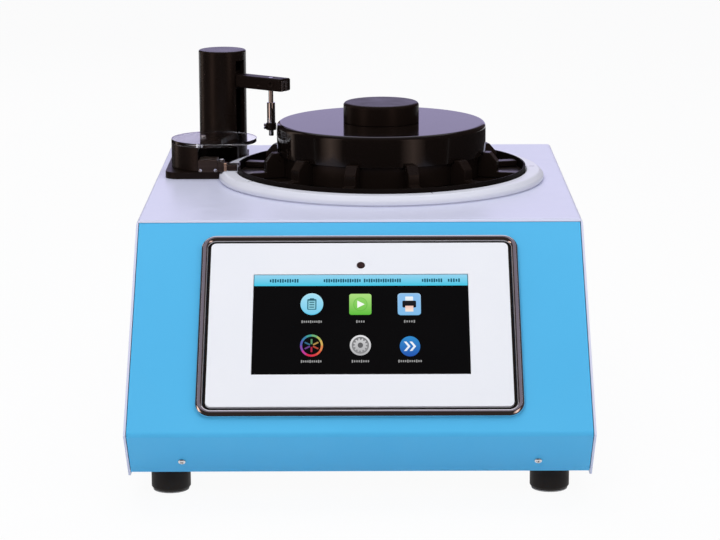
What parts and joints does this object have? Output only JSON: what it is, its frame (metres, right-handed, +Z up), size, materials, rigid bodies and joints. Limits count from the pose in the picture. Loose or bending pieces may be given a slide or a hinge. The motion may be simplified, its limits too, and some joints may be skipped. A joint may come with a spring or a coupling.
{
  "type": "tablet hardness tester",
  "caption": "Bench tablet hardness tester with a sloping touch screen front, a rotary tablet carousel under a lift-off lid, a crushing jaw and a thickness probe.",
  "frame": {"origin": "on the floor, under the middle of the casing", "axes": "+X to the right seen from the front, +Y from the sloping front to the rear, +Z up"},
  "size_m": [0.3268, 0.477, 0.2726],
  "materials": {
    "white_paint": "semi-gloss powder coat",
    "blue_paint": "satin enamel",
    "collar_white": "satin moulded",
    "faceplate_white": "satin membrane",
    "chrome": "bright plated",
    "screen": "bonded glass over a lit panel",
    "lens": "dark smoked lens",
    "gloss_black": "polished",
    "black_acetal": "machined satin",
    "black_anodised": "satin anodised",
    "gunmetal": "dark ground steel",
    "steel": "ground",
    "bright_screw": "polished",
    "brass": "turned",
    "clear_acrylic": "polished clear",
    "rubber": "moulded",
    "zinc": "zinc plated sheet",
    "aluminium": "machined",
    "motor_black": "satin",
    "board_green": "solder resist",
    "module_grey": "pressed",
    "socket_black": "moulded",
    "socket_metal": "tinned"
  },
  "bodies": {
    "root": {"top_cover": "white_paint", "front_panel": "blue_paint", "base_tray": "zinc", "rear_panel": "white_paint", "casing_screws": "bright_screw", "base_screws": "bright_screw", "feet": "rubber", "foot_screws": "bright_screw", "display_bezel": "chrome", "bezel_nuts": "bright_screw", "display_faceplate": "faceplate_white", "touch_glass": "screen", "status_lens": "lens", "display_module": "module_grey", "controller_board": "board_green", "carousel_collar": "collar_white", "well_liner": "black_acetal", "carousel_floor": "black_acetal", "bearing_housing": "aluminium", "spindle_bearings": "steel", "floor_screws": "bright_screw", "drive_belt": "rubber", "motor_bracket": "zinc", "station_plate": "black_anodised", "jaw_housing": "black_anodised", "jaw_guide": "gunmetal", "jaw_bush": "brass", "guard_disc": "clear_acrylic", "station_screws": "bright_screw", "jaw_drive_frame": "aluminium", "drive_motors": "motor_black", "column": "black_anodised", "column_cap": "black_anodised", "lift_motor": "motor_black", "guide_rods": "steel", "power_inlet": "socket_black", "power_switch": "socket_black", "data_sockets": "socket_metal", "power_supply": "board_green"},
    "carousel": {"pocket_vanes": "black_acetal", "carousel_hub": "black_acetal", "drive_spindle": "steel", "driven_pulley": "aluminium"},
    "lid": {"cover_disc": "gloss_black", "lid_knob": "gloss_black", "knob_screw": "bright_screw"},
    "motor": {"motor_pulley": "aluminium"},
    "jaw": {"jaw_ram": "gunmetal", "jaw_face": "steel", "jaw_carriage": "aluminium", "load_cell": "steel"},
    "jaw_screw": {"jaw_lead_screw": "steel"},
    "arm": {"arm": "black_anodised", "probe_barrel": "chrome", "probe_collar": "black_anodised", "gauge_screws": "bright_screw", "probe_spring": "steel"},
    "lift_screw": {"lift_screw": "steel"},
    "plunger": {"probe_plunger": "steel"},
    "rocker": {"power_rocker": "socket_black"}
  },
  "joints": [
    {"name": "carousel_spin", "type": "hinge", "parent": "root", "child": "carousel", "pos_m": [0.0169, 0.078, 0.19], "axis": [0, 0, 1], "continuous": true},
    {"name": "motor_spin", "type": "hinge", "parent": "root", "child": "motor", "pos_m": [0.0909, 0.078, 0.12], "axis": [0, 0, 1], "continuous": true},
    {"name": "lid_lift", "type": "slide", "parent": "carousel", "child": "lid", "axis": [0, 0, 1], "range_m": [0, 0.06]},
    {"name": "jaw_slide", "type": "slide", "parent": "root", "child": "jaw", "axis": [1, 0, 0], "range_m": [0, 0.026]},
    {"name": "jaw_screw_spin", "type": "hinge", "parent": "root", "child": "jaw_screw", "pos_m": [-0.12, 0.1003, 0.14645], "axis": [1, 0, 0], "range_deg": [-5, 2345]},
    {"name": "arm_lift", "type": "slide", "parent": "root", "child": "arm", "axis": [0, 0, 1], "range_m": [-0.02, 0.005]},
    {"name": "lift_screw_spin", "type": "hinge", "parent": "root", "child": "lift_screw", "pos_m": [-0.1135, 0.1615, 0.2], "axis": [0, 0, 1], "range_deg": [-905, 230]},
    {"name": "probe_plunge", "type": "slide", "parent": "arm", "child": "plunger", "axis": [0, 0, 1], "range_m": [0, 0.005], "stiffness_N_per_m": 60, "springref_m": -0.01, "deforming": ["probe_spring"]},
    {"name": "power_rocker_tilt", "type": "hinge", "parent": "root", "child": "rocker", "pos_m": [-0.066, 0.2315, 0.062], "axis": [1, 0, 0], "range_deg": [0, 14]}
  ],
  "couplings": [
    {"joint": "motor_spin", "follows": "carousel_spin", "ratio": 4},
    {"joint": "jaw_screw_spin", "follows": "jaw_slide", "rad_per_m": 1570.8},
    {"joint": "lift_screw_spin", "follows": "arm_lift", "rad_per_m": 785.4}
  ]
}
